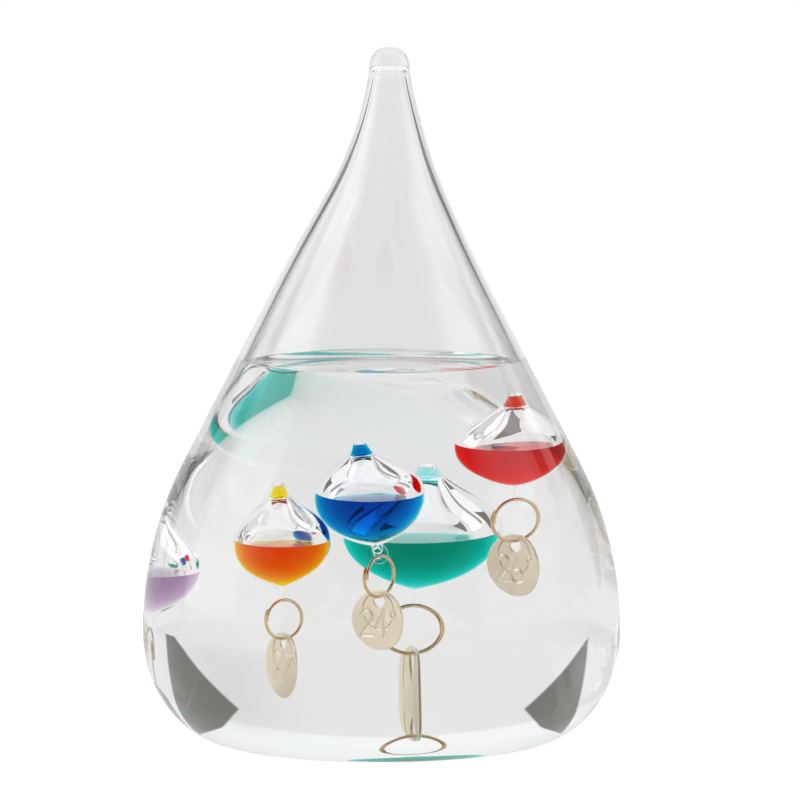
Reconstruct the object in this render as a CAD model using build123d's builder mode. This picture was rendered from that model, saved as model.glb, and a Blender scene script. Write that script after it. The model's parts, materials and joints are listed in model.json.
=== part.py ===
from build123d import *
import os
from math import cos, radians, sin, tan

# Drop-shaped sealed glass vessel, partly filled with clear liquid, with five glass floats.
# Millimetres, +Z up. Origin: centre of the flat foot.

# Vessel
HEIGHT = 148.0
MAX_RADIUS = 51.0
FOOT_RADIUS = 31.5
WIDEST_Z = 23.8
SHOULDER_RADIUS = 79.0
CONE_ANGLE = 27.4
CONE_TOP_Z = 115.7
NECK_SWEEP_RADIUS = 92.0
NECK_END_ANGLE = 10.0
WALL = 1.5
FOOT_THICKNESS = 3.0
CAVITY_TOP_Z = 142.8
CAVITY_TOP_RADIUS = 2.6

# Liquid
LIQUID_LEVEL = 79.9
FACE_GAP = 0.05
LIQUID_GAP = 0.3

# Float bulb, heights measured from its widest circle
BULB_RADIUS = 9.0
BULB_WALL = 0.5
BASE_PULL = (3.4, -7.4)
BELLY_FALL = -5.4
BELLY_RISE = 4.3
SHOULDER_PULL = (4.6, 6.0)
NECK_RADIUS = 1.5
NECK_FLARE = 0.6
NECK_ROOT_Z = 9.0
NECK_TOP_Z = 12.2
STEM_RADIUS = 0.9
STEM_ROOT_Z = -8.9
STEM_END_Z = -9.25
EYELET_Z = -10.5
EYELET_RADIUS = 1.4
EYELET_WIRE = 0.5
SECTION_TURN = -20.0
DYE_LEVEL_Z = -1.0
BEAD_BOTTOM_Z = 8.6
BEAD_TOP_Z = 11.2

# Jump ring and tag
RING_RADIUS = 3.65
RING_WIRE = 0.35
TAG_RADIUS = 5.3
TAG_THICKNESS = 0.4
TAG_HOLE_RADIUS = 1.1
TAG_HOLE_RISE = 3.4
LINK_GAP = 0.05

# Each float: name, centre of its widest circle, lean of its neck towards +X,
# and the turn of its ring's and its tag's plane about the vertical, in degrees
FLOATS = [
    ("red", (19.2, 7.2, 56.8), 0.0, 36.0, -35.0),
    ("blue", (-2.0, -7.1, 49.2), -8.0, 52.0, -41.0),
    ("orange", (-17.8, -19.3, 43.1), -4.0, 24.0, -66.0),
    ("green", (4.3, 30.9, 35.6), 4.0, 23.0, -75.0),
    ("purple", (-34.8, 9.3, 34.0), 0.0, 75.0, -15.0),
]


def vessel_outline(inset, foot_z, top_z, top_radius):
    """Half section of the drop, closed on its axis: flat foot, elliptical heel, shoulder arc,
    straight cone and a neck that sweeps in to a rounded tip. inset moves the wall inwards."""
    slope = radians(CONE_ANGLE)
    shoulder_x = MAX_RADIUS - SHOULDER_RADIUS
    arc = SHOULDER_RADIUS - inset
    cone_foot = (shoulder_x + arc * cos(slope), WIDEST_Z + arc * sin(slope))
    outer_foot_x = shoulder_x + SHOULDER_RADIUS * cos(slope)
    outer_foot_z = WIDEST_Z + SHOULDER_RADIUS * sin(slope)
    cone_end_x = outer_foot_x - (CONE_TOP_Z - outer_foot_z) * tan(slope)
    cone_end = (cone_end_x - inset * cos(slope), CONE_TOP_Z - inset * sin(slope))
    end_slope = radians(NECK_END_ANGLE)
    sweep_in = NECK_SWEEP_RADIUS * (cos(end_slope) - cos(slope))
    neck_radius = top_radius or cone_end_x - sweep_in
    sweep_top = CONE_TOP_Z + NECK_SWEEP_RADIUS * (sin(slope) - sin(end_slope))
    neck_end = (neck_radius, min(sweep_top, top_z - neck_radius))
    heel = MAX_RADIUS - inset - FOOT_RADIUS
    with BuildLine() as outline:
        Line((0, foot_z), (FOOT_RADIUS, foot_z))
        EllipticalCenterArc((FOOT_RADIUS, WIDEST_Z), heel, WIDEST_Z - foot_z,
                            start_angle=270, arc_size=90)
        CenterArc((shoulder_x, WIDEST_Z), arc, 0, CONE_ANGLE)
        Line(cone_foot, cone_end)
        Spline(cone_end, neck_end,
               tangents=[(-sin(slope), cos(slope)), (-sin(end_slope), cos(end_slope))])
        Spline(neck_end, (0, top_z), tangents=[(-sin(end_slope), cos(end_slope)), (-1, 0)])
        Line((0, top_z), (0, foot_z))
    make_face(outline.edges())


def liquid_outline():
    """Half section of the liquid: the cavity's, a hair inside the glass."""
    vessel_outline(WALL + FACE_GAP, FOOT_THICKNESS + FACE_GAP, CAVITY_TOP_Z, CAVITY_TOP_RADIUS)


def float_section(centre, lean, turn):
    """Section plane through a float's axis, with Y along that leaning axis and X at a turn
    about it."""
    a, t = radians(lean), radians(turn)
    across = (cos(t) * cos(a), sin(t), -cos(t) * sin(a))
    normal = (sin(t) * cos(a), -cos(t), -sin(t) * sin(a))
    return Plane(origin=centre, x_dir=across, z_dir=normal)


def own_axis(section):
    return Axis(section.origin, section.y_dir)


def along_axis(centre, lean, height):
    """Point on the float's axis at a height above its widest circle."""
    a = radians(lean)
    return (centre[0] + height * sin(a), centre[1], centre[2] + height * cos(a))


def upright_disc(point, turn):
    """Upright plane whose normal is level: a ring or tag at a turn about the vertical."""
    a = radians(turn)
    return Plane(origin=point, x_dir=(cos(a), sin(a), 0), z_dir=(sin(a), -cos(a), 0))


def ring_pivot(centre, lean):
    """Middle of the eyelet's wire where the jump ring hangs on it."""
    return along_axis(centre, lean, EYELET_Z - EYELET_RADIUS)


def ring_centre(centre, lean):
    x, y, z = ring_pivot(centre, lean)
    return (x, y, z + EYELET_WIRE + RING_WIRE + LINK_GAP - RING_RADIUS)


def tag_pivot(centre, lean):
    """Middle of the ring's wire where the tag hangs on it."""
    x, y, z = ring_centre(centre, lean)
    return (x, y, z - RING_RADIUS)


def tag_centre(centre, lean):
    x, y, z = tag_pivot(centre, lean)
    return (x, y, z + RING_WIRE + LINK_GAP - TAG_HOLE_RADIUS - TAG_HOLE_RISE)


def bulb_outline(inset):
    """Half section of the blown bulb: tipped neck, onion shoulder, pointed base and stem."""
    neck = NECK_RADIUS - inset
    belly = BULB_RADIUS - inset
    stem = STEM_RADIUS if inset <= 0 else 0.0
    root = STEM_ROOT_Z + max(inset, 0) * 1.6
    end = STEM_END_Z if inset <= 0 else root
    with BuildLine() as outline:
        Line((0, NECK_TOP_Z - inset), (0, end))
        if inset <= 0:
            Polyline((0, end), (stem, end), (stem, root))
        Bezier((stem, root), (BASE_PULL[0] - inset, BASE_PULL[1] + inset), (belly, BELLY_FALL),
               (belly, 0))
        Bezier((belly, 0), (belly, BELLY_RISE - inset),
               (SHOULDER_PULL[0] - inset, SHOULDER_PULL[1] - inset),
               (neck + NECK_FLARE, NECK_ROOT_Z))
        Line((neck + NECK_FLARE, NECK_ROOT_Z), (neck, NECK_TOP_Z - NECK_RADIUS))
        CenterArc((0, NECK_TOP_Z - NECK_RADIUS), neck, 0, 90)
    make_face(outline.edges())


with BuildPart() as vessel_shell:
    with BuildSketch(Plane.XZ):
        vessel_outline(0, 0, HEIGHT, 0)
    revolve(axis=Axis.Z)
    with BuildSketch(Plane.XZ):
        vessel_outline(WALL, FOOT_THICKNESS, CAVITY_TOP_Z, CAVITY_TOP_RADIUS)
    revolve(axis=Axis.Z, mode=Mode.SUBTRACT)

with BuildPart() as liquid_fill:
    with BuildSketch(Plane.XZ):
        liquid_outline()
        with Locations((0, LIQUID_LEVEL)):
            Rectangle(MAX_RADIUS, HEIGHT, align=(Align.MIN, Align.MIN), mode=Mode.SUBTRACT)
    revolve(axis=Axis.Z)
    for name, centre, lean, ring_turn, tag_turn in FLOATS:
        section = float_section(centre, lean, 0)
        with BuildSketch(section):
            bulb_outline(-LIQUID_GAP)
        revolve(axis=own_axis(section), mode=Mode.SUBTRACT)
        with Locations(along_axis(centre, lean, EYELET_Z)):
            Sphere(EYELET_RADIUS + EYELET_WIRE + LIQUID_GAP, mode=Mode.SUBTRACT)
        with Locations(upright_disc(ring_centre(centre, lean), ring_turn)):
            Cylinder(RING_RADIUS + RING_WIRE + LIQUID_GAP, 2 * (RING_WIRE + LIQUID_GAP),
                     mode=Mode.SUBTRACT)
        with Locations(upright_disc(tag_centre(centre, lean), tag_turn)):
            Cylinder(TAG_RADIUS + LIQUID_GAP, TAG_THICKNESS + 2 * LIQUID_GAP,
                     mode=Mode.SUBTRACT)


def make_bulb(centre, lean, ring_turn):
    """Thin blown glass bulb, with a solid stem drawn out into an eyelet below it."""
    section = float_section(centre, lean, ring_turn + SECTION_TURN)
    eyelet = float_section(along_axis(centre, lean, EYELET_Z), lean, ring_turn + 90)
    with BuildPart() as bulb:
        with BuildSketch(section):
            bulb_outline(0)
        revolve(axis=own_axis(section))
        with Locations(eyelet):
            Torus(EYELET_RADIUS, EYELET_WIRE)
        with BuildSketch(section):
            bulb_outline(BULB_WALL)
        revolve(axis=own_axis(section), mode=Mode.SUBTRACT)
    return bulb


def make_liquid(centre, lean, low, high):
    """Coloured liquid inside a bulb, between two heights on the bulb's axis."""
    section = float_section(centre, lean, 0)
    with BuildPart() as liquid:
        with BuildSketch(section):
            bulb_outline(BULB_WALL + FACE_GAP)
            with Locations((0, (low + high) / 2)):
                Rectangle(3 * BULB_RADIUS, high - low, mode=Mode.INTERSECT)
        revolve(axis=own_axis(section))
    return liquid


def make_ring(centre, lean, ring_turn):
    """Round wire jump ring, hanging in the eyelet."""
    with BuildPart() as ring:
        with Locations(upright_disc(ring_centre(centre, lean), ring_turn)):
            Torus(RING_RADIUS, RING_WIRE)
    return ring


def make_tag(centre, lean, tag_turn):
    """Punched round metal tag, hanging from the ring through its hole."""
    with BuildPart() as tag:
        with BuildSketch(upright_disc(tag_centre(centre, lean), tag_turn)):
            Circle(TAG_RADIUS)
            with Locations((0, TAG_HOLE_RISE)):
                Circle(TAG_HOLE_RADIUS, mode=Mode.SUBTRACT)
        extrude(amount=TAG_THICKNESS / 2, both=True)
    return tag


vessel_shell.part.label = "vessel_shell"
liquid_fill.part.label = "liquid_fill"
pieces = [vessel_shell, liquid_fill]
for name, centre, lean, ring_turn, tag_turn in FLOATS:
    for piece, kind in [
        (make_bulb(centre, lean, ring_turn), "bulb"),
        (make_liquid(centre, lean, STEM_ROOT_Z, DYE_LEVEL_Z), "dye"),
        (make_liquid(centre, lean, BEAD_BOTTOM_Z, BEAD_TOP_Z), "neck_bead"),
        (make_ring(centre, lean, ring_turn), "ring"),
        (make_tag(centre, lean, tag_turn), "tag"),
    ]:
        piece.part.label = f"{name}_{kind}"
        pieces.append(piece)

os.makedirs("parts", exist_ok=True)
for piece in pieces:
    export_step(piece.part, f"parts/{piece.part.label}.step")
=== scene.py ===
import json
from math import asin, cos, pi, radians, sin, tan

import bpy
import numpy as np
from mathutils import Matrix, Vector


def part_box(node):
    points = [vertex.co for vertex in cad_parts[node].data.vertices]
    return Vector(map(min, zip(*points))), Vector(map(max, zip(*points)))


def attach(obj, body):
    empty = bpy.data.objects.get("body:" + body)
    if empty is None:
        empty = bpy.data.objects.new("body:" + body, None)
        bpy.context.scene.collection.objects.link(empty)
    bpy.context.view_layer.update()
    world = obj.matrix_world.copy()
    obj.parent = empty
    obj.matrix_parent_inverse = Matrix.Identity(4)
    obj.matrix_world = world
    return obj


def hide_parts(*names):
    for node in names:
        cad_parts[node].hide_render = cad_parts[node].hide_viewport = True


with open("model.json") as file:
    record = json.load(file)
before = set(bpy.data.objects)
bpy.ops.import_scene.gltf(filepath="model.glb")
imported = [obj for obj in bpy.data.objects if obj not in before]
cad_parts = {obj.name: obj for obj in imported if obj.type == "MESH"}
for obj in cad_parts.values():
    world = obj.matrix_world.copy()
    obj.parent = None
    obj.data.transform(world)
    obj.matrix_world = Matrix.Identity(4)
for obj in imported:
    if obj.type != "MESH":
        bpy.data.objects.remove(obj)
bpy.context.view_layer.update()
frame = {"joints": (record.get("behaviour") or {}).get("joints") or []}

# ---------------------------------------------------------------------------------------------
# The drop: one piece of clear borosilicate glass, blown with a flattened foot and drawn out to a
# neck that leans a little to one side. The tip is melted shut, so its last few millimetres are
# solid. Below the liquid's edge the inner wall meets liquid, and above it meets air.

MM = 0.001
GLASS_IOR = 1.47
LIQUID_IOR = 1.43

drop_low, drop_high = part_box("vessel_shell")
DROP_RADIUS = (drop_high.x - drop_low.x) / 2
DROP_HEIGHT = drop_high.z
FOOT_RADIUS = 31.5 * MM
WIDEST_Z = 23.8 * MM
SHOULDER_RADIUS = 79 * MM
CONE_SLOPE = radians(27.4)
CONE_TOP_Z = 115.7 * MM
SWEEP_RADIUS = 92 * MM
SWEEP_END_SLOPE = radians(10)
TIP_POWER = 2.6
CAVITY_TIP_POWER = 4.5
WALL = 1.5 * MM
CAVITY_FOOT_Z = 3.0 * MM
CAVITY_TIP_Z = 144.0 * MM
FOOT_DISH = 0.35 * MM
NECK_LEAN = 1.7 * MM
LEAN_START_Z, LEAN_END_Z = 96 * MM, 136 * MM
ROUND_STEPS = 160
MENISCUS_RISE = 1.6 * MM
MENISCUS_REACH = 1.5 * MM
LIQUID_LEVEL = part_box("liquid_fill")[1].z
CONTACT_Z = LIQUID_LEVEL + MENISCUS_RISE


def drop_profile(inset, foot_z, tip_z, dish, tip_power):
    """Half section of the drop as rows of (radius, height), from the foot's centre to the tip.
    A flat foot, a quarter ellipse for the heel, an arc for the shoulder, a straight cone, an arc
    that sweeps in to the neck, and a quarter of a superellipse for the tip. inset moves the
    wall inwards, square to itself."""
    shoulder_x = DROP_RADIUS - SHOULDER_RADIUS
    out = np.linspace(0, 1, 14)[:-1]
    foot = np.c_[out * FOOT_RADIUS, foot_z + dish * (1 - out**4) * (out < 1)]
    turn = np.linspace(0, pi / 2, 48)[:-1]
    heel_width = DROP_RADIUS - inset - FOOT_RADIUS
    heel = np.c_[FOOT_RADIUS + heel_width * np.sin(turn),
                 WIDEST_Z - (WIDEST_Z - foot_z) * np.cos(turn)]
    turn = np.linspace(0, CONE_SLOPE, 40)[:-1]
    arc = SHOULDER_RADIUS - inset
    shoulder = np.c_[shoulder_x + arc * np.cos(turn), WIDEST_Z + arc * np.sin(turn)]
    cone_x = shoulder_x + SHOULDER_RADIUS * cos(CONE_SLOPE)
    cone_z = WIDEST_Z + SHOULDER_RADIUS * sin(CONE_SLOPE)
    cone_end_x = cone_x - (CONE_TOP_Z - cone_z) * tan(CONE_SLOPE)
    along = np.linspace(0, 1, 40)[:-1, None]
    start = np.array([shoulder_x + arc * cos(CONE_SLOPE), WIDEST_Z + arc * sin(CONE_SLOPE)])
    end = np.array([cone_end_x - inset * cos(CONE_SLOPE), CONE_TOP_Z - inset * sin(CONE_SLOPE)])
    cone = start + (end - start) * along
    turn = np.linspace(CONE_SLOPE, SWEEP_END_SLOPE, 36)[:-1]
    bend = SWEEP_RADIUS + inset
    sweep_x = cone_end_x + SWEEP_RADIUS * cos(CONE_SLOPE)
    sweep_z = CONE_TOP_Z + SWEEP_RADIUS * sin(CONE_SLOPE)
    sweep = np.c_[sweep_x - bend * np.cos(turn), sweep_z - bend * np.sin(turn)]
    neck_x = sweep_x - bend * cos(SWEEP_END_SLOPE)
    neck_z = sweep_z - bend * sin(SWEEP_END_SLOPE)
    rise = np.sin(np.linspace(0, pi / 2, 24))
    tip = np.c_[neck_x * (1 - rise**tip_power) ** (1 / tip_power),
                neck_z + (tip_z - neck_z) * rise]
    tip[-1] = 0, tip_z
    return np.concatenate([foot, heel, shoulder, cone, sweep, tip])


def cut_at(profile, height):
    """The profile with a row added at exactly that height, and that row's number."""
    row = int(np.searchsorted(profile[:, 1], height))
    below, above = profile[row - 1], profile[row]
    share = (height - below[1]) / (above[1] - below[1])
    return np.insert(profile, row, below + share * (above - below), axis=0), row


def rings(profile, steps=ROUND_STEPS):
    """Turns a (radius, height) profile about the upright axis: one ring of points for each row,
    anticlockwise seen from above."""
    angle = np.arange(steps) * 2 * pi / steps
    across, height = profile[:, :1], profile[:, 1:]
    return np.stack([across * np.cos(angle), across * np.sin(angle),
                     np.broadcast_to(height, (len(profile), steps))], axis=-1)


def lean_neck(points):
    """Shifts points sideways by a smooth step that grows from the cone to the tip."""
    part = np.clip((points[..., 2] - LEAN_START_Z) / (LEAN_END_Z - LEAN_START_Z), 0, 1)
    shifted = points.copy()
    shifted[..., 0] += NECK_LEAN * part**2 * (3 - 2 * part)
    return shifted


def skin(grid, first=0, inward=False):
    """Closed skin over rings of points whose first and last rings are poles: fans of triangles
    at the poles and quads between the rings. first is the number of its first vertex. Returns
    the vertices, the faces and each face's row."""
    count, steps = grid.shape[:2]
    points = np.concatenate([grid[0, :1], grid[1:-1].reshape(-1, 3), grid[-1, :1]])
    around = np.arange(steps)
    after = (around + 1) % steps
    last = first + len(points) - 1
    ring = first + 1 + around
    turned = first + 1 + after
    low_fan = np.c_[np.full(steps, first), turned, ring]
    lift = (count - 3) * steps
    high_fan = np.c_[ring + lift, turned + lift, np.full(steps, last)]
    lower = steps * np.arange(count - 3)[:, None]
    quads = np.stack([lower + ring, lower + turned, lower + steps + turned,
                      lower + steps + ring], axis=-1).reshape(-1, 4)
    if inward:
        low_fan, quads, high_fan = low_fan[:, ::-1], quads[:, ::-1], high_fan[:, ::-1]
    rows = np.concatenate([np.zeros(steps, int), np.repeat(np.arange(1, count - 2), steps),
                           np.full(steps, count - 2)])
    return points, low_fan.tolist() + quads.tolist() + high_fan.tolist(), rows


def make_piece(name, points, faces, materials, face_slots=None):
    """A smooth mesh object at the origin from vertices, faces and each face's material slot."""
    mesh = bpy.data.meshes.new(name)
    mesh.from_pydata(np.asarray(points), [], faces)
    for material in materials:
        mesh.materials.append(material)
    if face_slots is not None:
        mesh.polygons.foreach_set("material_index", np.asarray(face_slots, dtype=np.int32))
    mesh.shade_smooth()
    mesh.update()
    piece = bpy.data.objects.new(name, mesh)
    bpy.context.scene.collection.objects.link(piece)
    return piece


def clear_shader(nodes, ior, tint=(1, 1, 1)):
    """A smooth clear shader node. ior is relative to what lies outside its faces."""
    shader = nodes.new("ShaderNodeBsdfPrincipled")
    shader.inputs["Base Color"].default_value = (*tint, 1)
    shader.inputs["Roughness"].default_value = 0.0
    shader.inputs["Transmission Weight"].default_value = 1.0
    shader.inputs["IOR"].default_value = ior
    return shader


def clear_material(name, ior, tint=(1, 1, 1), wave=0.0, wave_size=0.02):
    """A smooth clear material. wave ripples its surface like hand-blown glass."""
    material = bpy.data.materials.new(name)
    material.use_nodes = True
    nodes, links = material.node_tree.nodes, material.node_tree.links
    nodes.remove(nodes["Principled BSDF"])
    shader = clear_shader(nodes, ior, tint)
    links.new(shader.outputs["BSDF"], nodes["Material Output"].inputs["Surface"])
    if wave:
        place = nodes.new("ShaderNodeTexCoord")
        noise = nodes.new("ShaderNodeTexNoise")
        noise.inputs["Scale"].default_value = 1 / wave_size
        noise.inputs["Detail"].default_value = 1.0
        bump = nodes.new("ShaderNodeBump")
        bump.inputs["Strength"].default_value = 1.0
        bump.inputs["Distance"].default_value = wave
        links.new(place.outputs["Object"], noise.inputs["Vector"])
        links.new(noise.outputs["Fac"], bump.inputs["Height"])
        links.new(bump.outputs["Normal"], shader.inputs["Normal"])
    return material


GLASS_TINT = (0.994, 0.994, 0.993)
glass_in_air = clear_material("drop_glass", GLASS_IOR, GLASS_TINT, 0.03 * MM)
glass_on_liquid = clear_material("drop_glass_wetted", GLASS_IOR / LIQUID_IOR, GLASS_TINT)

outer = lean_neck(rings(drop_profile(0, 0, DROP_HEIGHT, FOOT_DISH, TIP_POWER)))
cavity_profile = drop_profile(WALL, CAVITY_FOOT_Z, CAVITY_TIP_Z, 0, CAVITY_TIP_POWER)
cavity_profile, contact_row = cut_at(cavity_profile, CONTACT_Z)
outer_points, outer_faces, outer_rows = skin(outer)
inner_points, inner_faces, inner_rows = skin(
    lean_neck(rings(cavity_profile)), len(outer_points), inward=True)
drop = make_piece("glass_drop", np.concatenate([outer_points, inner_points]),
                  outer_faces + inner_faces, [glass_in_air, glass_on_liquid],
                  np.concatenate([np.zeros(len(outer_rows)), inner_rows < contact_row]))
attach(drop, "vessel")
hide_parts("vessel_shell")

# ---------------------------------------------------------------------------------------------
# The clear liquid: a light paraffin that fills the drop a little over half way. It wets the wall
# and climbs it in a curved edge. Its sides lie a hair inside the glass and only its top bends
# light, because the wetted glass already does so at the wall.

LIQUID_GAP = 0.01 * MM
CALM_SHARE = 0.84

liquid_profile = drop_profile(WALL + LIQUID_GAP, CAVITY_FOOT_Z + LIQUID_GAP, CAVITY_TIP_Z, 0,
                              CAVITY_TIP_POWER)
liquid_profile, liquid_row = cut_at(liquid_profile, CONTACT_Z)
side = liquid_profile[:liquid_row + 1]
edge_radius = side[-1, 0]
inwards = np.concatenate([np.linspace(1, CALM_SHARE, 26)[1:], np.linspace(CALM_SHARE, 0, 16)[1:]])
surface = np.c_[edge_radius * inwards, LIQUID_LEVEL + MENISCUS_RISE
                * np.exp(-edge_radius * (1 - inwards) / MENISCUS_REACH)]
liquid_points, liquid_faces, liquid_rows = skin(rings(np.concatenate([side, surface])))
liquid_surface = clear_material("liquid_surface", LIQUID_IOR)
liquid_side = clear_material("liquid_side", 1.0)
liquid = make_piece("clear_liquid", liquid_points, liquid_faces, [liquid_surface, liquid_side],
                    liquid_rows < liquid_row)
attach(liquid, "vessel")
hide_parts("liquid_fill")

# ---------------------------------------------------------------------------------------------
# The bulbs of the five floats: thin glass blown to an onion shape, with a sealed neck on top and
# a solid stem below that is drawn out and bent round into an eyelet.

BULB_RADIUS = 9.0 * MM
BULB_WALL = 0.28 * MM
BULB_BASE_PULL_X = 3.4 * MM
BULB_BASE_PULL_Z = {"red": -8.3 * MM, "blue": -8.1 * MM, "orange": -7.4 * MM,
                    "green": -7.8 * MM, "purple": -7.4 * MM}
BULB_BELLY_FALL = -5.4 * MM
BULB_BELLY_RISE = 4.3 * MM
BULB_SHOULDER_PULL = (4.6 * MM, 6.0 * MM)
BULB_NECK_RADIUS = 1.5 * MM
BULB_NECK_FLARE = 0.6 * MM
BULB_NECK_ROOT_Z = 9.0 * MM
BULB_NECK_TOP_Z = 12.2 * MM
STEM_RADIUS = 0.9 * MM
STEM_ROOT_Z = -8.9 * MM
STEM_END_Z = -9.7 * MM
EYELET_Z = -10.5 * MM
EYELET_RADIUS = 1.4 * MM
EYELET_WIRE = 0.5 * MM
BEAD_LOW_Z, BEAD_HIGH_Z = 8.5 * MM, 11.3 * MM
DYE_IOR = 1.44
FLOAT_STEPS = 96
DYE_ROWS = 40
CLEAR_ROWS = 60

joint_of = {joint["name"]: joint for joint in frame["joints"]}


def bezier(start, pull_start, pull_end, end, count):
    """Points on a cubic curve between two ends, drawn by the two pull points."""
    t = np.linspace(0, 1, count)[:, None]
    return ((1 - t) ** 3 * np.array(start) + 3 * (1 - t) ** 2 * t * np.array(pull_start)
            + 3 * (1 - t) * t**2 * np.array(pull_end) + t**3 * np.array(end))


def bulb_profile(inset, base_pull_z):
    """Half section of the bulb as rows of (radius, height) from its lowest point to the top of
    its neck: base, wide belly, onion shoulder, straight neck and a round tip. The lower
    base_pull_z is, the rounder is the base."""
    belly, neck = BULB_RADIUS - inset, BULB_NECK_RADIUS - inset
    root = STEM_ROOT_Z + 1.6 * inset
    stem = 0 if inset else STEM_RADIUS
    base = bezier((stem, root), (BULB_BASE_PULL_X - inset, base_pull_z + inset),
                  (belly, BULB_BELLY_FALL), (belly, 0), 40)
    shoulder_x, shoulder_z = BULB_SHOULDER_PULL
    shoulder = bezier((belly, 0), (belly, BULB_BELLY_RISE - inset),
                      (shoulder_x - inset, shoulder_z - inset),
                      (neck + BULB_NECK_FLARE, BULB_NECK_ROOT_Z), 44)[1:]
    tube = np.c_[np.linspace(neck + BULB_NECK_FLARE, neck, 7)[1:],
                 np.linspace(BULB_NECK_ROOT_Z, BULB_NECK_TOP_Z - BULB_NECK_RADIUS, 7)[1:]]
    turn = np.linspace(0, pi / 2, 9)[1:]
    tip = np.c_[neck * np.cos(turn), BULB_NECK_TOP_Z - BULB_NECK_RADIUS + neck * np.sin(turn)]
    tip[-1, 0] = 0
    profile = np.concatenate([base, shoulder, tube, tip])
    if not inset:
        turn = np.linspace(-pi / 2, 0, 6)
        end = np.c_[STEM_RADIUS * np.cos(turn), STEM_END_Z + STEM_RADIUS * np.sin(turn)]
        end[0, 0] = 0
        profile = np.concatenate([end, profile])
    return profile


def float_axes(colour):
    """A float's centre and its own three axes as rows, read from the CAD bulb and the joint at
    its eyelet."""
    low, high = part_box(f"{colour}_bulb")
    pivot = np.array(joint_of[f"{colour}_ring_swing"]["pos_m"])
    arm = EYELET_RADIUS - EYELET_Z
    tilt = asin(((low.x + high.x) / 2 - pivot[0]) / arm)
    axes = np.array([[cos(tilt), 0, -sin(tilt)], [0, 1, 0], [sin(tilt), 0, cos(tilt)]])
    return pivot + arm * axes[2], axes


def level_rings(profile, axes, level, low_rows, high_rows):
    """Rings on a turned profile in a leaning float's own axes, with one ring exactly at a level
    height above the float's centre: each meridian is walked up to where it crosses the level,
    and the rows below and above it are shared out evenly. Points are relative to the centre."""
    angle = np.arange(FLOAT_STEPS) * 2 * pi / FLOAT_STEPS
    row = np.arange(len(profile))
    height = (profile[:, :1] * np.cos(angle) * axes[0, 2] + profile[:, 1:] * axes[2, 2])
    above = (height > level).argmax(axis=0)
    low, high = height[above - 1, np.arange(FLOAT_STEPS)], height[above, np.arange(FLOAT_STEPS)]
    crossing = above - 1 + (level - low) / (high - low)
    share = np.linspace(0, 1, low_rows)[:, None]
    lower = share * crossing
    upper = crossing + np.linspace(0, 1, high_rows)[1:, None] * (row[-1] - crossing)
    where = np.concatenate([lower, upper])
    radius = np.interp(where, row, profile[:, 0])
    lift = np.interp(where, row, profile[:, 1])
    local = np.stack([radius * np.cos(angle), radius * np.sin(angle), lift], axis=-1)
    return local @ axes


def torus(centre, across, up, radius, wire, steps, sides):
    """Closed ring of round wire in the plane of two directions."""
    along = (np.arange(steps) * 2 * pi / steps)[:, None, None]
    round_wire = (np.arange(sides) * 2 * pi / sides)[None, :, None]
    spoke = np.cos(along) * across + np.sin(along) * up
    normal = np.cross(across, up)
    points = centre + spoke * (radius + wire * np.cos(round_wire)) + normal * wire * np.sin(round_wire)
    i, j = np.meshgrid(np.arange(steps), np.arange(sides), indexing="ij")
    ahead, beside = (i + 1) % steps, (j + 1) % sides
    faces = np.stack([i * sides + j, ahead * sides + j, ahead * sides + beside,
                      i * sides + beside], axis=-1).reshape(-1, 4)
    return points.reshape(-1, 3), faces


bulb_glass = clear_material("bulb_glass_in_liquid", GLASS_IOR / LIQUID_IOR)
bulb_on_air = clear_material("bulb_glass_on_air", GLASS_IOR)
bulb_on_dye = clear_material("bulb_glass_on_dye", GLASS_IOR / DYE_IOR)

# How clear each dye is to red, green and blue light, from 0 to 1, and its density per metre
COLOURS = {"red": ((0.977, 0.18, 0.0), 1100), "blue": ((0.0, 0.875, 0.957), 1500),
           "orange": ((0.995, 0.93, 0.0), 2400), "green": ((0.0, 0.93, 0.905), 1200),
           "purple": ((0.38, 0.0, 0.45), 120)}
# How high each dye stands above its bulb's middle
DYE_HEIGHT = {"red": 0.9 * MM, "blue": 0.8 * MM, "orange": 0.5 * MM, "green": 0.0 * MM,
              "purple": -0.5 * MM}

for colour in COLOURS:
    centre, axes = float_axes(colour)
    ring_tangent = np.array(joint_of[f"{colour}_tag_swing"]["axis"])
    outside = rings(bulb_profile(0, BULB_BASE_PULL_Z[colour]), FLOAT_STEPS) @ axes + centre
    points, faces, rows = skin(outside)
    inside_profile = bulb_profile(BULB_WALL, BULB_BASE_PULL_Z[colour])
    inside = level_rings(inside_profile, axes, DYE_HEIGHT[colour], DYE_ROWS, CLEAR_ROWS) + centre
    in_points, in_faces, in_rows = skin(inside, len(points), inward=True)
    eyelet_side = np.cross(ring_tangent, axes[2])
    eyelet_side /= np.linalg.norm(eyelet_side)
    loop_points, loop_faces = torus(centre + EYELET_Z * axes[2], eyelet_side, axes[2],
                                    EYELET_RADIUS, EYELET_WIRE, 48, 16)
    loop_faces = loop_faces + len(points) + len(in_points)
    in_height = (in_points - centre) @ axes[2]
    middle = np.array([in_height[np.array(face) - len(points)].mean() for face in in_faces])
    bead = (middle > BEAD_LOW_Z) & (middle < BEAD_HIGH_Z)
    in_slots = np.where((in_rows < DYE_ROWS - 1) | bead, 2, 1)
    bulb = make_piece(f"{colour}_glass_bulb", np.concatenate([points, in_points, loop_points]),
                      faces + in_faces + loop_faces.tolist(),
                      [bulb_glass, bulb_on_air, bulb_on_dye],
                      np.concatenate([np.zeros(len(faces)), in_slots,
                                      np.zeros(len(loop_faces))]))
    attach(bulb, f"{colour}_float")
    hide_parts(f"{colour}_bulb")

# ---------------------------------------------------------------------------------------------
# The coloured liquids: a dyed pool in the lower half of each bulb, level however the bulb leans,
# and a little more of it caught in the sealed neck by its own surface, paler or deeper.

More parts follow.
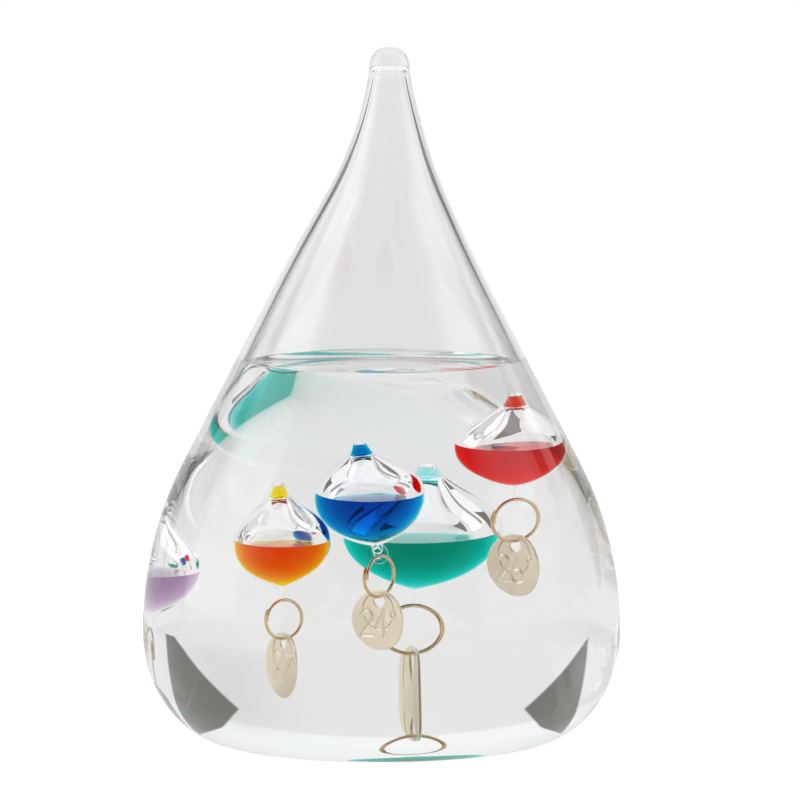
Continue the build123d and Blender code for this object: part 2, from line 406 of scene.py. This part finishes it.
DYE_GAP = 0.01 * MM
DYE_RISE = 0.45 * MM
DYE_REACH = 0.7 * MM
DYE_CALM_SHARE = 0.7
BEAD_STRENGTH = {"red": 1.2, "blue": 3.0, "orange": 0.6, "green": 0.25, "purple": 1.0}
BEAD_ROWS = 12
LID_ROWS = 8
LID_HOLLOW = 0.35


def dye_material(name, tint, density):
    """A coloured liquid that absorbs light inside it. Its free faces bend light as a liquid does
    in air, and the faces on glass let it straight through, because the bulb's wall has bent it."""
    material = bpy.data.materials.new(name)
    material.use_nodes = True
    nodes, links = material.node_tree.nodes, material.node_tree.links
    nodes.remove(nodes["Principled BSDF"])
    on_glass, free = clear_shader(nodes, 1.0), clear_shader(nodes, DYE_IOR)
    is_free = nodes.new("ShaderNodeAttribute")
    is_free.attribute_name = "free_face"
    choose = nodes.new("ShaderNodeMixShader")
    absorb = nodes.new("ShaderNodeVolumeAbsorption")
    absorb.inputs["Color"].default_value = (*tint, 1)
    absorb.inputs["Density"].default_value = density
    output = nodes["Material Output"]
    links.new(is_free.outputs["Fac"], choose.inputs["Fac"])
    links.new(on_glass.outputs["BSDF"], choose.inputs[1])
    links.new(free.outputs["BSDF"], choose.inputs[2])
    links.new(choose.outputs["Shader"], output.inputs["Surface"])
    links.new(absorb.outputs["Volume"], output.inputs["Volume"])
    return material


def mark_free_faces(piece, free):
    """Notes on each face of a liquid whether it is free or lies on glass."""
    note = piece.data.attributes.new("free_face", "FLOAT", "FACE")
    note.data.foreach_set("value", np.asarray(free, dtype=np.float32))


for colour, (tint, density) in COLOURS.items():
    centre, axes = float_axes(colour)
    dye_liquid = dye_material(f"{colour}_dye", tint, density)
    profile = bulb_profile(BULB_WALL + DYE_GAP, BULB_BASE_PULL_Z[colour])
    walls = level_rings(profile, axes, DYE_HEIGHT[colour], DYE_ROWS, 2)[:DYE_ROWS]
    rim = walls[-1]
    inwards = np.concatenate([np.linspace(1, DYE_CALM_SHARE, 16)[1:],
                              np.linspace(DYE_CALM_SHARE, 0, 12)[1:]])
    middle = rim.mean(axis=0)
    top = middle + inwards[:, None, None] * (rim - middle)
    reach = np.hypot(*(rim - middle)[:, :2].T)
    top[..., 2] = (DYE_HEIGHT[colour] - DYE_RISE
                   + DYE_RISE * np.exp(-(1 - inwards[:, None]) * reach / DYE_REACH))
    points, faces, rows = skin(np.concatenate([walls, top]) + centre)
    dye = make_piece(f"{colour}_dye_pool", points, faces, [dye_liquid])
    mark_free_faces(dye, rows >= DYE_ROWS - 1)
    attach(dye, f"{colour}_float")
    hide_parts(f"{colour}_dye")

    heights = np.linspace(BEAD_LOW_Z, BEAD_HIGH_Z, BEAD_ROWS)
    column = np.c_[np.interp(heights, profile[:, 1], profile[:, 0]), heights]
    turn = np.linspace(0, pi / 2, LID_ROWS)[:-1, None]
    lid = np.c_[np.sin(turn), LID_HOLLOW * np.cos(turn)]
    column = np.concatenate([(0, BEAD_LOW_Z) + lid * (column[0, 0], column[0, 0]), column,
                             (0, BEAD_HIGH_Z) + lid[::-1] * (column[-1, 0], -column[-1, 0])])
    points, faces, rows = skin(rings(column, 48) @ axes + centre)
    on_wall = (rows >= LID_ROWS - 1) & (rows < LID_ROWS + BEAD_ROWS - 2)
    bead_liquid = dye_material(f"{colour}_neck_dye", tint, density * BEAD_STRENGTH[colour])
    bead = make_piece(f"{colour}_dye_bead", points, faces, [bead_liquid])
    mark_free_faces(bead, ~on_wall)
    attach(bead, f"{colour}_float")
    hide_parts(f"{colour}_neck_bead")

# ---------------------------------------------------------------------------------------------
# The jump rings: gilt steel wire wound a little more than once round, so that its two ends lie
# side by side. Each hangs in its bulb's eyelet and carries a tag.

RING_RADIUS = 3.65 * MM
RING_WIRE = 0.28 * MM
RING_LAP = radians(14)
RING_SEAM = radians(165)
RING_STEPS = 120
RING_SPREAD = 2.1 * RING_WIRE
TINT_PATCH = 2.5 * MM


def metal_material(name, tint, dark_tint, roughness, grain_size, grain_depth):
    """Polished plated metal: its colour drifts between two tints, its roughness varies, and a
    fine grain ripples the surface."""
    material = bpy.data.materials.new(name)
    material.use_nodes = True
    nodes, links = material.node_tree.nodes, material.node_tree.links
    shader = nodes["Principled BSDF"]
    shader.inputs["Metallic"].default_value = 1.0
    place = nodes.new("ShaderNodeTexCoord")
    cloud = nodes.new("ShaderNodeTexNoise")
    cloud.inputs["Scale"].default_value = 1 / TINT_PATCH
    cloud.inputs["Detail"].default_value = 4.0
    blend = nodes.new("ShaderNodeMix")
    blend.data_type = "RGBA"
    blend.inputs["A"].default_value = (*tint, 1)
    blend.inputs["B"].default_value = (*dark_tint, 1)
    spread = nodes.new("ShaderNodeMapRange")
    spread.inputs["To Min"].default_value = roughness * 0.8
    spread.inputs["To Max"].default_value = roughness * 1.5
    grain = nodes.new("ShaderNodeTexNoise")
    grain.inputs["Scale"].default_value = 1 / grain_size
    grain.inputs["Detail"].default_value = 6.0
    bump = nodes.new("ShaderNodeBump")
    bump.inputs["Distance"].default_value = grain_depth
    links.new(place.outputs["Object"], cloud.inputs["Vector"])
    links.new(place.outputs["Object"], grain.inputs["Vector"])
    links.new(cloud.outputs["Fac"], blend.inputs["Factor"])
    links.new(blend.outputs["Result"], shader.inputs["Base Color"])
    links.new(cloud.outputs["Fac"], spread.inputs["Value"])
    links.new(spread.outputs["Result"], shader.inputs["Roughness"])
    links.new(grain.outputs["Fac"], bump.inputs["Height"])
    links.new(bump.outputs["Normal"], shader.inputs["Normal"])
    return material


gilt_wire = metal_material("gilt_wire", (0.80, 0.62, 0.36), (0.62, 0.44, 0.24), 0.16,
                           0.3 * MM, 0.004 * MM)

for colour in COLOURS:
    tag_joint = joint_of[f"{colour}_tag_swing"]
    tangent = np.array(tag_joint["axis"])
    up = np.array([0, 0, 1.0])
    ring_centre = np.array(tag_joint["pos_m"]) + RING_RADIUS * up
    wind = np.linspace(RING_SEAM - RING_LAP, RING_SEAM + 2 * pi + RING_LAP,
                       RING_STEPS)[:, None]
    spoke = np.cos(wind) * tangent + np.sin(wind) * up
    normal = np.cross(tangent, up)
    drift = (wind - RING_SEAM - pi) / (2 * pi + 2 * RING_LAP) * RING_SPREAD
    path = ring_centre + RING_RADIUS * spoke + normal * drift
    end_turn = np.linspace(0, pi / 2, 6)
    thick = np.concatenate([np.sin(end_turn), np.ones(len(path) - 2), np.cos(end_turn)])
    order = np.concatenate([np.zeros(5, int), np.arange(len(path)), np.full(5, len(path) - 1)])
    heading = np.gradient(path, axis=0)
    heading /= np.linalg.norm(heading, axis=1)[:, None]
    nudge = np.concatenate([-np.cos(end_turn), np.zeros(len(path) - 2), np.sin(end_turn)])
    spine = path[order] + RING_WIRE * nudge[:, None] * heading[order]
    side_angle = (np.arange(16) * 2 * pi / 16)[None, :, None]
    tube = (spine[:, None] + RING_WIRE * thick[:, None, None]
            * (np.cos(side_angle) * spoke[order][:, None] + np.sin(side_angle) * normal))
    points, faces, rows = skin(tube)
    ring = make_piece(f"{colour}_jump_ring", points, faces, [gilt_wire])
    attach(ring, f"{colour}_link")
    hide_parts(f"{colour}_ring")

# ---------------------------------------------------------------------------------------------
# The tags: discs punched from thin gilt sheet, with a hole near the edge for the ring and the
# float's degree number stamped into the front face in a thin line. Each sheet is very slightly bowed.

TAG_RADIUS = 5.3 * MM
TAG_HALF = 0.2 * MM
TAG_STEPS = 380
TAG_FRONT_ROWS = 130
TAG_BACK_ROWS = 30
TAG_RIM_ROWS = 9
TAG_BOW = 12.0
TAG_BOW_SQUEEZE = 0.4
TAG_BOW_DROP = 0.06 * MM
TAG_HOLE_RADIUS = 1.1 * MM
TAG_HOLE_RISE = 3.4 * MM
TAG_HANG = 4.1 * MM
TAG_EDGE = 0.12 * MM
STROKE_DEPTH = 0.15 * MM
STROKE_WIDTH = 0.2 * MM
DIGIT_HEIGHT = 4.5 * MM
DIGIT_WIDTH = 2.3 * MM
DIGIT_STEP = 2.8 * MM
DIGIT_FOOT = -2.8 * MM
DIGIT_LEFT = -3.5 * MM
DEGREE_RADIUS = 0.48 * MM
# Each tag's number, and how far round it hangs in degrees
TAGS = {"red": ("26", -35), "blue": ("24", -41), "orange": ("22", -66), "green": ("20", -75),
        "purple": ("18", -15)}


def line_distance(x, y, ax, ay, bx, by):
    """Distance from points to a straight stroke between two ends."""
    along = ((x - ax) * (bx - ax) + (y - ay) * (by - ay)) / ((bx - ax) ** 2 + (by - ay) ** 2)
    along = np.clip(along, 0, 1)
    return np.hypot(x - ax - along * (bx - ax), y - ay - along * (by - ay))


def arc_distance(x, y, cx, cy, radius, start, sweep):
    """Distance from points to a round stroke, from a start angle through a sweep in degrees."""
    angle = np.degrees(np.arctan2(y - cy, x - cx))
    past = np.mod(angle - start, 360)
    on_arc = np.abs(np.hypot(x - cx, y - cy) - radius)
    ends = np.radians([start, start + sweep])
    off = np.minimum(np.hypot(x - cx - radius * cos(ends[0]), y - cy - radius * sin(ends[0])),
                     np.hypot(x - cx - radius * cos(ends[1]), y - cy - radius * sin(ends[1])))
    return np.where(past <= sweep, on_arc, off)


# Each digit's strokes in a box one unit wide and two high: lines by their ends, arcs by centre,
# radius, start and sweep
DIGIT_STROKES = {
    "0": [("arc", 0.5, 1.5, 0.5, 0, 180), ("arc", 0.5, 0.5, 0.5, 180, 180),
          ("line", 0, 0.5, 0, 1.5), ("line", 1, 0.5, 1, 1.5)],
    "1": [("line", 0.6, 0, 0.6, 2), ("line", 0.6, 2, 0.2, 1.6)],
    "2": [("arc", 0.5, 1.5, 0.5, -35, 195), ("line", 0.91, 1.21, 0, 0), ("line", 0, 0, 1, 0)],
    "4": [("line", 0.75, 0, 0.75, 2), ("line", 0.75, 2, 0, 0.65), ("line", 0, 0.65, 1, 0.65)],
    "6": [("arc", 0.5, 0.5, 0.5, 0, 360), ("line", 0.03, 0.65, 0.62, 2)],
    "8": [("arc", 0.5, 0.53, 0.5, 0, 360), ("arc", 0.5, 1.5, 0.43, 0, 360)],
}


def stamped(x, y, digits):
    """Depth of the stamped line at points of a tag's face: a rounded groove along the strokes
    of its two digits and the small circle of its degree sign."""
    size = DIGIT_HEIGHT / 2
    squeeze = DIGIT_WIDTH / size
    nearest = arc_distance(x, y, DIGIT_LEFT + 2.35 * DIGIT_STEP, DIGIT_FOOT + 0.9 * DIGIT_HEIGHT,
                           DEGREE_RADIUS, 0, 360)
    for place, digit in enumerate(digits):
        u = (x - DIGIT_LEFT - place * DIGIT_STEP) / (size * squeeze)
        v = (y - DIGIT_FOOT) / size
        for kind, *numbers in DIGIT_STROKES[digit]:
            measure = line_distance if kind == "line" else arc_distance
            nearest = np.minimum(nearest, measure(u, v, *numbers) * size)
    return STROKE_DEPTH * np.exp(-(nearest / STROKE_WIDTH) ** 2)


gilt_sheet = metal_material("gilt_sheet", (0.97, 0.89, 0.71), (0.92, 0.82, 0.63), 0.38,
                            0.12 * MM, 0.003 * MM)

for colour, (digits, turn) in TAGS.items():
    across = np.array([cos(radians(turn)), sin(radians(turn)), 0])
    front = np.array([sin(radians(turn)), -cos(radians(turn)), 0])
    up = np.array([0, 0, 1.0])
    middle = np.array(joint_of[f"{colour}_tag_swing"]["pos_m"]) - TAG_HANG * up
    angle = (np.arange(TAG_STEPS) * 2 * pi / TAG_STEPS)[None, :]
    face = np.linspace(0, 1, TAG_FRONT_ROWS)[1:-1]
    back = np.linspace(1, 0, TAG_BACK_ROWS)[1:-1]
    bevel = np.linspace(0, pi, TAG_RIM_ROWS)
    # v runs out over the front, round the rim, back over the rear face and through the hole
    out = np.concatenate([face, np.ones(TAG_RIM_ROWS), back, np.zeros(TAG_RIM_ROWS)])[:, None]
    rim_pull = np.concatenate([0 * face, np.sin(bevel), 0 * back, np.sin(bevel)])[:, None]
    depth = np.concatenate([0 * face + 1, np.cos(bevel), 0 * back - 1, -np.cos(bevel)])[:, None]
    hole_x, hole_y = TAG_HOLE_RADIUS * np.cos(angle), TAG_HOLE_RISE + TAG_HOLE_RADIUS * np.sin(angle)
    edge_x, edge_y = TAG_RADIUS * np.cos(angle), TAG_RADIUS * np.sin(angle)
    shrink = (1 - rim_pull) * TAG_EDGE
    x = hole_x + out * (edge_x - hole_x) + np.cos(angle) * np.where(out > 0.5, -shrink, shrink)
    y = hole_y + out * (edge_y - hole_y) + np.sin(angle) * np.where(out > 0.5, -shrink, shrink)
    bow = TAG_BOW * (x**2 - y**2 * TAG_BOW_SQUEEZE) - TAG_BOW_DROP
    sink = np.where(depth > 0.99, stamped(x, y, digits), 0)
    lift = depth * TAG_HALF - sink + bow
    grid = middle + x[..., None] * across + y[..., None] * up + lift[..., None] * front
    count, steps = x.shape
    i, j = np.meshgrid(np.arange(count), np.arange(steps), indexing="ij")
    ahead, beside = (i + 1) % count, (j + 1) % steps
    faces = np.stack([i * steps + j, ahead * steps + j, ahead * steps + beside,
                      i * steps + beside], axis=-1).reshape(-1, 4)
    tag = make_piece(f"{colour}_degree_tag", grid.reshape(-1, 3), faces.tolist(), [gilt_sheet])
    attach(tag, f"{colour}_label")
    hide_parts(f"{colour}_tag")

# ---------------------------------------------------------------------------------------------
# The stage: a plain pale table that runs without a seam into a white studio. The table glows
# evenly though it is no lamp, painted light that fills in its shadows, and glows more where the
# camera sees it directly, so that there it looks white with barely a shadow. The studio is open
# between its white walls at four corners, low down. Its front half is dark higher up, two lamps
# stand at the sides, and one is overhead.

TABLE_REACH = 3.0
TABLE_DROP = 0.0001
# Painted light: the table's own glow for every ray, and the extra glow it has for camera rays
TABLE_GLOW = 0.55
CAMERA_RAY_GLOW = 0.35
TABLE_GREY = (0.35, 0.35, 0.348)
WHITE = (0.83, 0.83, 0.828)
CEILING = (0.95, 0.96, 0.98)
OPENING = (0.16, 0.155, 0.14)
DARK_ROOM = (0.10, 0.10, 0.105)
LEFT_LAMP = (1.7, 1.7, 1.66)
RIGHT_LAMP = (1.25, 1.25, 1.25)
TOP_LAMP = (1.25, 1.25, 1.25)
WALL_TOP = 14.3
OPENING_TOP = 16.0
ARCH_TURN, ARCH_SLOPE = 30, 0.8
SLANT_TURN, SLANT_RISE, SLANT_SLOPE = 27, 10, 0.611
RIGHT_BACK_GATE = (20, 49)
LEFT_BACK_GATE = (-43.5, -20)
FRONT_GATES = (131, 160)
SHADE_BEARING, SHADE_RISE = (16, 36), (0, WALL_TOP)
GAP_TURN, GAP_RISE = (58, 66), (18, 62)
DARK_BEARING, DARK_RISE = 112, (15, 66)
LEFT_LAMP_BEARING, LEFT_LAMP_RISE = (-104, -70), (1, 46)
RIGHT_LAMP_BEARING, RIGHT_LAMP_RISE = (72, 101), (12, 46)
TOP_LAMP_RISE = 66
CAMERA_DISTANCE = 1.2
CAMERA_HEIGHT = 0.175
AIM_POINT = (0.00393, 0, 0.07298)
VIEW_WIDTH = 0.16978
SENSOR_WIDTH = 36
LIGHT_BOUNCES = 128
WALL_SHADE = (0.73, 0.73, 0.74)
GAP_GREY = (0.35, 0.35, 0.35)

scene = bpy.context.scene

floor_mesh = bpy.data.meshes.new("floor")
floor_mesh.from_pydata([(x * TABLE_REACH, y * TABLE_REACH, -TABLE_DROP)
                        for x, y in ((-1, -1), (1, -1), (1, 1), (-1, 1))], [], [(0, 1, 2, 3)])
floor = bpy.data.objects.new("floor", floor_mesh)
scene.collection.objects.link(floor)
paint = bpy.data.materials.new("pale_glowing_table")
paint.use_nodes = True
nodes, links = paint.node_tree.nodes, paint.node_tree.links
table_shader = nodes["Principled BSDF"]
table_shader.inputs["Base Color"].default_value = (*TABLE_GREY, 1)
table_shader.inputs["Roughness"].default_value = 0.9
table_shader.inputs["Specular IOR Level"].default_value = 0.0
# Painted light: the table glows for every ray, and more for camera rays, which washes out its shadows
seen = nodes.new("ShaderNodeLightPath")
lift = nodes.new("ShaderNodeMath")
lift.operation = "MULTIPLY_ADD"
lift.inputs[1].default_value = CAMERA_RAY_GLOW
lift.inputs[2].default_value = TABLE_GLOW
glow = nodes.new("ShaderNodeEmission")
both = nodes.new("ShaderNodeAddShader")
links.new(seen.outputs["Is Camera Ray"], lift.inputs[0])
links.new(lift.outputs["Value"], glow.inputs["Strength"])
links.new(table_shader.outputs["BSDF"], both.inputs[0])
links.new(glow.outputs["Emission"], both.inputs[1])
links.new(both.outputs["Shader"], nodes["Material Output"].inputs["Surface"])
floor_mesh.materials.append(paint)

world = bpy.data.worlds.new("studio")
scene.world = world
world.use_nodes = True
nodes, links = world.node_tree.nodes, world.node_tree.links


def maths(operation, *values):
    """One Math node on the world's tree; each value is a number or another node's output."""
    node = nodes.new("ShaderNodeMath")
    node.operation = operation
    for socket, value in zip(node.inputs, values):
        if isinstance(value, (int, float)):
            socket.default_value = value
        else:
            links.new(value, socket)
    return node.outputs["Value"]


def over(value, edge, blur):
    """0 below an edge and 1 above it, with a smooth step as wide as blur on each side."""
    step = nodes.new("ShaderNodeMapRange")
    step.interpolation_type = "SMOOTHSTEP"
    links.new(value, step.inputs["Value"])
    step.inputs["From Min"].default_value = edge - blur
    step.inputs["From Max"].default_value = edge + blur
    return step.outputs["Result"]


def painted(under, colour, share):
    """A colour laid over another by a share from 0 to 1."""
    mix = nodes.new("ShaderNodeMix")
    mix.data_type = "RGBA"
    links.new(share, mix.inputs["Factor"])
    if isinstance(under, tuple):
        mix.inputs["A"].default_value = (*under, 1)
    else:
        links.new(under, mix.inputs["A"])
    mix.inputs["B"].default_value = (*colour, 1)
    return mix.outputs["Result"]


def band(value, edges, blur):
    """1 between two edges and 0 outside them."""
    low, high = edges
    return maths("SUBTRACT", over(value, low, blur), over(value, high, blur))


# Directions in degrees: bearing is 0 behind the drop and grows to the right, rise is upwards,
# and turn is 0 behind or in front and 90 at either side
direction = nodes.new("ShaderNodeTexCoord")
parts = nodes.new("ShaderNodeSeparateXYZ")
links.new(direction.outputs["Generated"], parts.inputs["Vector"])
bearing = maths("DEGREES", maths("ARCTAN2", parts.outputs["X"], parts.outputs["Y"]))
rise = maths("DEGREES", maths("ARCSINE", parts.outputs["Z"]))
off_axis = maths("ABSOLUTE", bearing)
turn = maths("SUBTRACT", 90, maths("ABSOLUTE", maths("SUBTRACT", off_axis, 90)))
slant = maths("ADD", maths("MULTIPLY", maths("SUBTRACT", turn, SLANT_TURN), SLANT_SLOPE),
              maths("SUBTRACT", rise, SLANT_RISE))
arch = maths("SUBTRACT", rise, maths("MULTIPLY", maths("SUBTRACT", turn, ARCH_TURN), ARCH_SLOPE))
gates = maths("ADD", band(bearing, LEFT_BACK_GATE, 0.7), band(bearing, RIGHT_BACK_GATE, 0.7))
gates = maths("ADD", gates, band(off_axis, FRONT_GATES, 0.7))
opening = maths("MULTIPLY", maths("MULTIPLY", over(slant, 0, 0.5), gates),
                maths("SUBTRACT", 1, over(arch, OPENING_TOP, 0.4)))
shade = maths("MULTIPLY", band(bearing, SHADE_BEARING, 9), band(rise, SHADE_RISE, 3))
gap = maths("MULTIPLY", band(turn, GAP_TURN, 1), band(rise, GAP_RISE, 2))
dark_room = maths("MULTIPLY", over(off_axis, DARK_BEARING, 7), band(rise, DARK_RISE, 2.5))
left_lamp = maths("MULTIPLY", band(bearing, LEFT_LAMP_BEARING, 2), band(rise, LEFT_LAMP_RISE, 1.5))
right_lamp = maths("MULTIPLY", band(bearing, RIGHT_LAMP_BEARING, 2),
                   band(rise, RIGHT_LAMP_RISE, 1.5))
light = painted(WHITE, CEILING, over(rise, WALL_TOP, 0.3))
light = painted(light, WALL_SHADE, shade)
light = painted(light, DARK_ROOM, dark_room)
light = painted(light, GAP_GREY, gap)
light = painted(light, OPENING, opening)
light = painted(light, LEFT_LAMP, left_lamp)
light = painted(light, RIGHT_LAMP, right_lamp)
light = painted(light, TOP_LAMP, over(rise, TOP_LAMP_RISE, 3))
seen = nodes.new("ShaderNodeLightPath")
light = painted(light, (1, 1, 1), seen.outputs["Is Camera Ray"])
links.new(light, nodes["Background"].inputs["Color"])

camera_data = bpy.data.cameras.new("camera")
camera = bpy.data.objects.new("camera", camera_data)
scene.collection.objects.link(camera)
scene.camera = camera
camera.location = (0, -CAMERA_DISTANCE, CAMERA_HEIGHT)
camera.rotation_euler = (Vector(AIM_POINT) - camera.location).to_track_quat("-Z", "Y").to_euler()
camera_data.sensor_width = SENSOR_WIDTH
camera_data.lens = SENSOR_WIDTH * CAMERA_DISTANCE / VIEW_WIDTH
camera_data.clip_start = 0.01

scene.cycles.max_bounces = LIGHT_BOUNCES
scene.cycles.transmission_bounces = LIGHT_BOUNCES
scene.cycles.glossy_bounces = LIGHT_BOUNCES
scene.cycles.transparent_max_bounces = 24
scene.view_settings.view_transform = "Standard"
